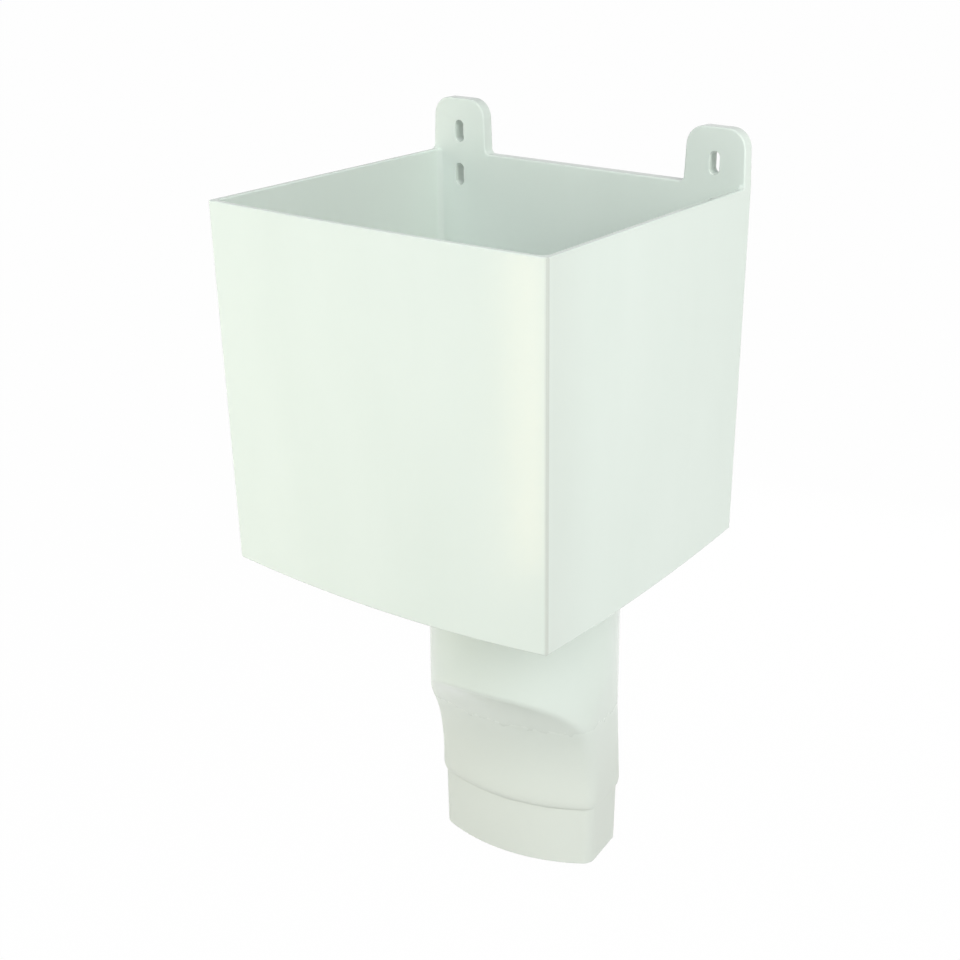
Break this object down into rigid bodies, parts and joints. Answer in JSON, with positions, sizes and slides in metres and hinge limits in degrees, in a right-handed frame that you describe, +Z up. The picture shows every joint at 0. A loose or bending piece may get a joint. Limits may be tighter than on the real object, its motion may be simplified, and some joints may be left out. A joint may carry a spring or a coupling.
{
  "type": "downpipe hopper head",
  "caption": "Open rainwater hopper box with a bowed front, slotted fixing ears on its back plate and an outlet that changes from round to a flat-backed oval spigot.",
  "frame": {"origin": "on the wall face, on the centre line, level with the lower fixing slots", "axes": "+Z up, +Y into the wall, -Y the front, +X to the right seen from the front"},
  "size_m": [0.2, 0.1914, 0.4303],
  "materials": {
    "pvc": "semi-gloss moulded plastic, pale green-white"
  },
  "bodies": {
    "root": {"hopper_head": "pvc"}
  },
  "joints": []
}
